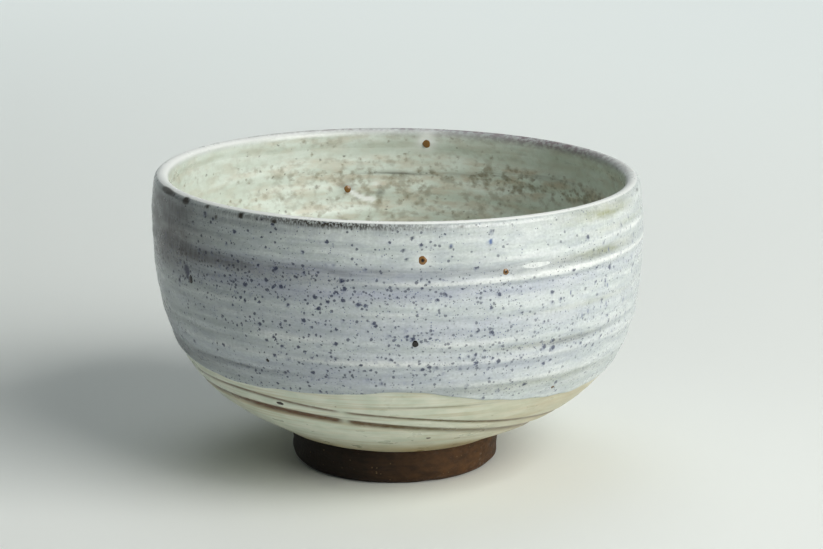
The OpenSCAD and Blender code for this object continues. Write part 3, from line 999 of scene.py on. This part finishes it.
class MATCHA_BOWL_OT_cream(bpy.types.Operator):
    """Dip the outside in the cream glaze"""

    bl_idname = "matcha_bowl.cream"
    bl_label = "Cream glaze"

    def execute(self, context):
        sizes, colours = sizes_in_mm(context), context.scene.matcha_bowl_colours
        profile = clay_profile(sizes)
        angles = ring_angles(600)
        start = 0.15 + 2.4 * near(angles, -48, 34) + 1.2 * near(angles, 160, 50)
        start = start + 0.12 * (1 + ripple(angles, 0.0, 151, 23, 1.0))
        shown = along_at(profile, MILKY_EDGE + 4)
        rows = np.concatenate([EDGE_STEPS, np.linspace(1, shown - 3, 112)])[:, None]
        low = start[None, :] + rows * (shown - start[None, :]) / (shown - 3)
        front = np.concatenate([low, np.linspace(shown, profile.crest, 18)[1:, None] + 0 * low[:1]])
        under_milky = ease(front, float(shown) - 2, float(shown) + 2)
        lift = bead(front - start[None, :], 0.6, sizes.base_coat) * (1 - 0.6 * under_milky)
        back = np.linspace(0, 1, 12)[:, None] * (profile.crest - start[None, :]) + start[None, :]
        grid, along = shell(sizes, profile, angles, front, lift, back, 0 * back)
        height = on_profile(profile, along)[1]
        angle = angles[None, :] + 0 * height
        # Thin coat near the foot, and painted warm reflection low down and on the right
        thin_tan_and_reflection = (0.85 * (1 - ease(height, 9.5, 16)) + 0.75 * near(angle, 62, 40)
               + 0.2 * near(angle, 180, 60))
        below = height - groove_height(angle, 0) + 0.85
        thin_tan_and_reflection = thin_tan_and_reflection + 0.75 * np.exp(-(below / 0.4) ** 2) * near(angle, -35, 32)
        upper = (0.65 + 0.25 * near(angle, 35, 30)) * groove(angle, height, 1)
        brown = np.maximum(groove(angle, height, 0), upper)
        brown = brown * (1 - 0.85 * near(angle, -15.5, 1.6))
        brown = np.maximum(brown, patches(angle, height, FAINT_LINES))
        olive = near(angle, 14, 24)
        fields = {"thin_tan_and_reflection": np.clip(thin_tan_and_reflection, 0, 1), "groove": np.clip(1.4 * brown, 0, 1), "olive": olive}
        make_piece("cream_glaze", grid.reshape(-1, 3), turned(len(grid), angles, True),
                   fields, cream_glaze(colours), "base_glaze")
        return {"FINISHED"}


class MATCHA_BOWL_OT_milky(bpy.types.Operator):
    """Brush the milky glaze over the upper wall and the lip"""

    bl_idname = "matcha_bowl.milky"
    bl_label = "Milky glaze"

    def execute(self, context):
        sizes, colours = sizes_in_mm(context), context.scene.matcha_bowl_colours
        profile = clay_profile(sizes)
        angles = ring_angles(560)
        start = along_at(profile, milky_edge_height(angles))
        lap = sizes.milky_lap + 0.5 * ripple(angles, 0.0, 161, 13, 1.0)
        end = profile.crest + 1.5 + lap
        lip_low, lip_high = profile.crest - 2.4, profile.crest + 1.2
        wall = np.linspace(0, 1, 112)[:-1, None]
        lap_rows = np.linspace(0, 1, 12)[1:, None]
        front = np.concatenate([
            start[None, :] + EDGE_STEPS[:, None],
            start[None, :] + 0.6 + wall * (lip_low - start - 0.6)[None, :],
            np.linspace(lip_low, lip_high, 36)[:, None] + 0 * start[None, :],
            lip_high + lap_rows * (end - lip_high)[None, :]])
        thick = np.minimum(bead(front - start[None, :], 0.6, sizes.milky_coat),
                           sizes.milky_coat * (1.5 * ease(end[None, :] - front, 0, 3.6) - 0.2))
        back = start[None, :] + np.linspace(0, 1, 12)[:, None] * (end - start)[None, :]
        sunk = 0.25 * sizes.base_coat * ease(back, profile.crest, profile.crest + 2)
        grid, along = shell(sizes, profile, angles, front, sizes.base_coat + thick,
                            back, sizes.base_coat - sunk)
        height = on_profile(profile, along)[1]
        angle = angles[None, :] + 0 * height
        outside = np.where(along > profile.crest, 0.0, 1.0)
        past = along - profile.crest
        marks = outside_marks(angle, height, 1.0)
        burnt = 0.06 + 0.94 * near(angle, -15, 21)
        line = ease(-past, BURNT_FROM - 0.15, BURNT_FROM)
        line *= 1 - ease(-past, BURNT_FROM + 0.4, BURNT_FROM + 1.3)
        blobs = ease(patches(angle, past, LIP_BLOBS), 0.3, 0.85)
        runs = ease(-past, 0.95, 1.2) * np.exp(-np.maximum(-past - 1, 0) / 1.1)
        rim_back = np.exp(-((past - 0.7) / 1.2) ** 2) * 0.8 * near(angle, 132, 36)
        rim_back += np.exp(-((past - 0.05) / 0.5) ** 2) * 0.85 * near(angle, 178, 42)
        # Painted highlight along the lip's crest, left out at the back right
        crest = 1 - ease(-past, BURNT_FROM - 0.2, BURNT_FROM - 0.05)
        crest *= 1 - ease(past, 0.8, 1.5)
        crest *= 1 - 0.95 * near(angle, 148, 52)
        above = along - start[None, :]
        smeared = near(angle, 68, 16) * ease(height, 36, 44) * (1 - ease(height, 66, 70))
        fields = {
            "violet": outside * covered(angle, height, VIOLET),
            "olive": outside * covered(angle, height, OLIVE + back_patches(7, 6, 0.5)),
            "thin_and_shade": outside * covered(angle, height, THIN_AND_SHADE + back_patches(8, 14, 0.5)),
            "drops": outside * ease(patches(angle, height, DROPS), 0.25, 0.7),
            "bluer": ease(height, 68.6, 69.2) * near(angle, 17, 5),
            "speckled": outside * covered(angle, height, SPECKLED, 0.1),
            "smeared": outside * smeared,
            "dusted": outside * covered(angle, height, DUSTED, 0.12),
            "smoky_and_shaded": outside * covered(angle, height, SMOKY_AND_SHADED),
            # Painted light: the side towards the key lamp, painted whiter
            "lamp_side_white": outside * near(angle, 50, 60),
            # Ridges whiter, partly thick glaze and partly painted highlight
            "ridge": outside * ease(marks, 0.1, 0.31),
            "inner": ease(past, 0.5, 2.0),
            "rust": (1 - outside) * inside_rust(angle, height),
            "rim": outside * line * burnt,
            "blobs": outside * blobs,
            "runs": outside * runs * near(angle, -25, 45),
            "crest": crest,
            "rim_back": np.clip(rim_back, 0, 1),
            "halo": covered(angle, height, GRAIN_HALOS),
            "edge": np.exp(-(above / 0.7) ** 2) * (0.2 + 0.8 * near(angle, -40, 40)),
        }
        make_piece("milky_glaze", grid.reshape(-1, 3), turned(len(grid), angles, True), fields,
                   milky_glaze(colours), "top_glaze")
        return {"FINISHED"}


class MATCHA_BOWL_OT_grains(bpy.types.Operator):
    """Set the melted grains of iron in the glaze"""

    bl_idname = "matcha_bowl.grains"
    bl_label = "Iron grains"

    def execute(self, context):
        sizes, colours = sizes_in_mm(context), context.scene.matcha_bowl_colours
        profile = clay_profile(sizes)
        around = np.linspace(0, 360, 29)[:-1]
        rings = np.linspace(0, 1, 9)
        points, faces, spread, brown = [], [], [], []
        count = 0
        for inside, grains in ((False, GRAINS_OUT), (True, GRAINS_IN)):
            for k, (angle, height, size, rusty, tall) in enumerate(grains):
                middle = float(along_at(profile, height, inside))
                r = on_profile(profile, middle)[0]
                coats = sizes.base_coat
                outside_edge = float(milky_edge_height(angle)) + 0.5
                on_milky = height > (MILKY_INSIDE if inside else outside_edge)
                coats += sizes.milky_coat if on_milky else 0.0
                ragged = 1 + 0.04 * np.cos(np.radians(3 * around + 40 * k)) + 0.03 * np.cos(
                    np.radians(5 * around + 70 * k))
                reach = rings[:, None] * ragged[None, :] * size / 2
                dome = GRAIN_DOME * (1 - rings[:, None] ** 2) ** 0.7 - GRAIN_SINK + 0 * reach
                a = angle + np.degrees(reach * np.cos(np.radians(around)) / r)
                along = middle + reach * np.sin(np.radians(around)) * tall
                grid = wall_points(sizes, profile, a, along, coats + dome)
                ring = flat(grid, (0,))
                points.append(ring)
                turned_faces = turned(len(rings), around, False, (0,))
                if inside:
                    turned_faces = [f[::-1] for f in turned_faces]
                bottom = [count + len(ring) - len(around) + i for i in range(len(around))]
                faces += [[count + i for i in f] for f in turned_faces]
                faces.append(bottom if inside else bottom[::-1])
                heart = 0.4 if inside else 0.0
                spread.append(flat(rings[:, None] + heart + 0 * around[None, :], (0,)))
                brown.append(np.full(len(ring), rusty))
                count += len(ring)
        fields = {"spread": np.concatenate(spread), "brown": np.concatenate(brown)}
        make_piece("iron_grains", np.concatenate(points), faces, fields, melted_iron(colours),
                   "iron_spots")
        return {"FINISHED"}


# ---------------------------------------------------------------- the studio, in metres

# Half the side of the floor, and how far out it starts and ends to fade into the backdrop
FLOOR_HALF = 6.0
FADE_FROM, FADE_TO = 0.3, 1.2
# How bright the air is: seen past the far floor and above it, as a light on the bowl, and how much
# brighter in reflections, first all round and then behind the bowl
BACKDROP_GLOW, AIR_LIGHT = 0.95, 0.11
MIRRORED_ROUND, MIRRORED_BEHIND = 0.2, 0.7
# Square lamps: name, place, point that they face, side, power (W), spread (degrees), colour
LAMPS = [
    ("key", (0.76, -0.58, 0.66), (0, 0, 0.04), 0.85, 15.0, 180, "#fffdf8"),
    ("top", (-0.15, 0.2, 1.0), (0, 0, 0.06), 0.8, 1.2, 180, "#f6fafa"),
    ("background", (0.15, 0.95, 1.05), (0.15, 0.85, 0), 1.1, 2.3, 75, "#f2f8f8"),
]
# The camera's place, its turn from looking straight down (degrees), and its lens (mm)
CAMERA_PLACE = (0.0, -0.6367, 0.202)
CAMERA_TURN = (90 - 13.66, 0.0, -0.293)
CAMERA_LENS = 113.7


def studio_floor(colours):
    """Matt pale floor round the bowl. Further off it glows as the backdrop does and takes less of
    the lamps' light, so that it meets the backdrop without a dark edge."""
    material, tree, shader = new_material("studio_floor")
    reach = add(tree, "ShaderNodeVectorMath", {"operation": "LENGTH"}, {
        0: add(tree, "ShaderNodeTexCoord").outputs["Object"]})
    far = add(tree, "ShaderNodeMapRange", {"interpolation_type": "SMOOTHSTEP"}, {
        "Value": reach.outputs["Value"], "From Min": FADE_FROM, "From Max": FADE_TO})
    pale = over(tree, colours.floor, (0.0, 0.0, 0.0, 1.0), far)
    glow = between(tree, far, 0.0, BACKDROP_GLOW)
    feed(tree, shader, {"Base Color": pale, "Roughness": 0.9, "Emission Color": colours.backdrop,
                        "Emission Strength": glow})
    return material


def studio_air(colours):
    """The air round the studio: bright where it is seen, dim as a light on the bowl, and in
    reflections dim all round but brighter behind the bowl."""
    world = bpy.data.worlds.new("studio_air")
    world.use_nodes = True
    tree = world.node_tree
    path = add(tree, "ShaderNodeLightPath")
    seen = between(tree, path.outputs["Is Camera Ray"], AIR_LIGHT, BACKDROP_GLOW)
    way = add(tree, "ShaderNodeSeparateXYZ", None, {
        "Vector": add(tree, "ShaderNodeTexCoord").outputs["Generated"]})
    behind = add(tree, "ShaderNodeMapRange", {"interpolation_type": "SMOOTHSTEP"}, {
        "Value": way.outputs["Y"], "From Min": 0.6, "From Max": 0.95,
        "To Min": MIRRORED_ROUND, "To Max": MIRRORED_BEHIND})
    mirrored = add(tree, "ShaderNodeMath", {"operation": "MULTIPLY_ADD"}, {
        0: path.outputs["Is Glossy Ray"], 1: behind, 2: seen})
    feed(tree, tree.nodes["Background"], {"Color": colours.backdrop, "Strength": mirrored})
    return world


class MATCHA_BOWL_OT_stage(bpy.types.Operator):
    """Set up the floor, the soft light and the camera"""

    bl_idname = "matcha_bowl.stage"
    bl_label = "Studio"

    def execute(self, context):
        scene = context.scene
        colours = scene.matcha_bowl_colours
        side = FLOOR_HALF
        mesh = bpy.data.meshes.new("floor")
        mesh.from_pydata([(-side, -side, 0), (side, -side, 0), (side, side, 0), (-side, side, 0)],
                         [], [(0, 1, 2, 3)])
        floor = bpy.data.objects.new("floor", mesh)
        scene.collection.objects.link(floor)
        mesh.materials.append(studio_floor(colours))
        for name, place, aim, size, power, spread, colour in LAMPS:
            lamp = bpy.data.lights.new(name, "AREA")
            lamp.shape = "SQUARE"
            lamp.size = size
            lamp.energy = power
            lamp.spread = np.radians(spread)
            lamp.color = linear(colour)[:3]
            light = bpy.data.objects.new(name, lamp)
            light.location = place
            light.rotation_euler = (Vector(aim) - Vector(place)).to_track_quat("-Z", "Y").to_euler()
            light.visible_camera = False
            scene.collection.objects.link(light)
        scene.world = studio_air(colours)
        camera = bpy.data.cameras.new("camera")
        camera.sensor_width = 36.0
        camera.lens = CAMERA_LENS
        eye = bpy.data.objects.new("camera", camera)
        eye.location = CAMERA_PLACE
        eye.rotation_euler = Euler(np.radians(CAMERA_TURN))
        scene.collection.objects.link(eye)
        scene.camera = eye
        scene.view_settings.view_transform = "Standard"
        return {"FINISHED"}


class MATCHA_BOWL_PT_panel(bpy.types.Panel):
    """The bowl's pieces, one button each"""

    bl_label = "Matcha Bowl"
    bl_idname = "MATCHA_BOWL_PT_panel"
    bl_space_type = "VIEW_3D"
    bl_region_type = "UI"
    bl_category = "Matcha Bowl"

    def draw(self, context):
        column = self.layout.column()
        for operator in OPERATORS:
            column.operator(operator.bl_idname, text=operator.bl_label)
        for group in (context.scene.matcha_bowl_sizes, context.scene.matcha_bowl_colours):
            for name in group.bl_rna.properties.keys():
                if name not in ("rna_type", "name"):
                    column.prop(group, name)


OPERATORS = (
    MATCHA_BOWL_OT_clay, MATCHA_BOWL_OT_foot, MATCHA_BOWL_OT_inside, MATCHA_BOWL_OT_cream,
    MATCHA_BOWL_OT_milky, MATCHA_BOWL_OT_grains, MATCHA_BOWL_OT_stage,
)
CLASSES = (MatchaBowlSizes, MatchaBowlColours, *OPERATORS, MATCHA_BOWL_PT_panel)


def register():
    for cls in CLASSES:
        bpy.utils.register_class(cls)
    bpy.types.Scene.matcha_bowl_sizes = bpy.props.PointerProperty(type=MatchaBowlSizes)
    bpy.types.Scene.matcha_bowl_colours = bpy.props.PointerProperty(type=MatchaBowlColours)


def unregister():
    del bpy.types.Scene.matcha_bowl_colours
    del bpy.types.Scene.matcha_bowl_sizes
    for cls in reversed(CLASSES):
        bpy.utils.unregister_class(cls)


def main():
    """Registers the add-on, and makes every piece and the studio."""
    register()
    for operator in OPERATORS:
        category, name = operator.bl_idname.split(".")
        if getattr(getattr(bpy.ops, category), name)() != {"FINISHED"}:
            raise RuntimeError(f"{operator.bl_label} was not made")


if __name__ == "__main__":
    main()
